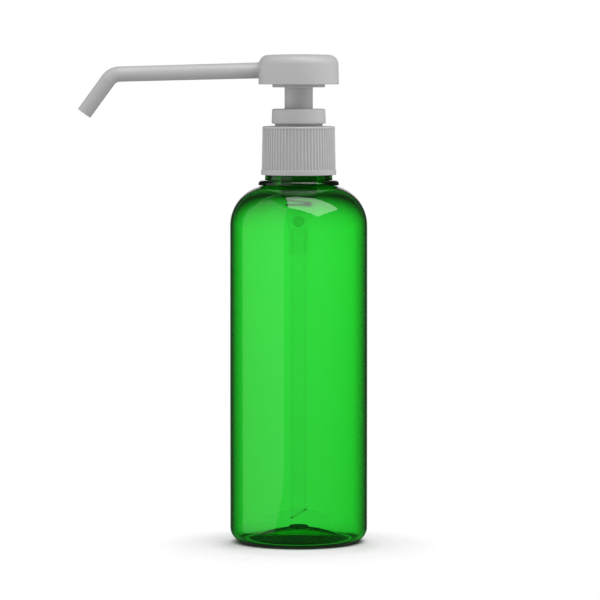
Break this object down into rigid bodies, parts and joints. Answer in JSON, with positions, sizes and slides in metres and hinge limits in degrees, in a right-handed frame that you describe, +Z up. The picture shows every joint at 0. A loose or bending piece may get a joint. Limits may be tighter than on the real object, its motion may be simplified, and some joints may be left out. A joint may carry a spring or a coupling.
{
  "type": "pump bottle",
  "caption": "Round transparent bottle with a shoulder, a ribbed screw closure and a lotion pump with a round press head and a long bent spout.",
  "frame": {"origin": "centre of the ring that the bottle stands on, on the surface under it", "axes": "+Z up along the bottle's and the pump's common axis, the spout points along -X"},
  "size_m": [0.1051, 0.05, 0.1777],
  "materials": {
    "bottle_pet": "gloss",
    "pump_grey": "satin",
    "natural_plastic": "satin",
    "clear_tube": "gloss",
    "gasket_foam": "matte",
    "steel": "polished",
    "clear_glass": "gloss"
  },
  "bodies": {
    "bottle_body": {"bottle": "bottle_pet"},
    "pump": {"pump_housing": "natural_plastic", "gasket": "gasket_foam", "collar": "pump_grey", "dip_tube": "clear_tube"},
    "closure_nut": {"closure": "pump_grey"},
    "foot_valve": {"inlet_ball": "clear_glass"},
    "return_spring": {"spring": "steel"},
    "actuator": {"stem": "pump_grey", "piston_rod": "natural_plastic", "head": "pump_grey", "spout": "pump_grey"},
    "piston_seal": {"piston": "natural_plastic"}
  },
  "joints": [
    {"name": "pump_rise", "type": "slide", "parent": "bottle_body", "child": "pump", "axis": [0, 0, 1], "range_m": [0, 0.00476]},
    {"name": "closure_turn", "type": "hinge", "parent": "pump", "child": "closure_nut", "pos_m": [0, 0, 0.143], "axis": [0, 0, 1], "range_deg": [0, 540]},
    {"name": "ball_lift", "type": "slide", "parent": "pump", "child": "foot_valve", "axis": [0, 0, 1], "range_m": [0, 0.001]},
    {"name": "head_swivel", "type": "hinge", "parent": "pump", "child": "return_spring", "pos_m": [0, 0, 0.13], "axis": [0, 0, 1], "continuous": true},
    {"name": "head_press", "type": "slide", "parent": "return_spring", "child": "actuator", "axis": [0, 0, 1], "range_m": [-0.0075, 0], "stiffness_N_per_m": 900, "springref_m": 0.006, "deforming": ["spring"]},
    {"name": "piston_shift", "type": "slide", "parent": "actuator", "child": "piston_seal", "axis": [0, 0, 1], "range_m": [0, 0.0008]}
  ],
  "couplings": [
    {"joint": "closure_turn", "follows": "pump_rise", "rad_per_m": 1979}
  ]
}
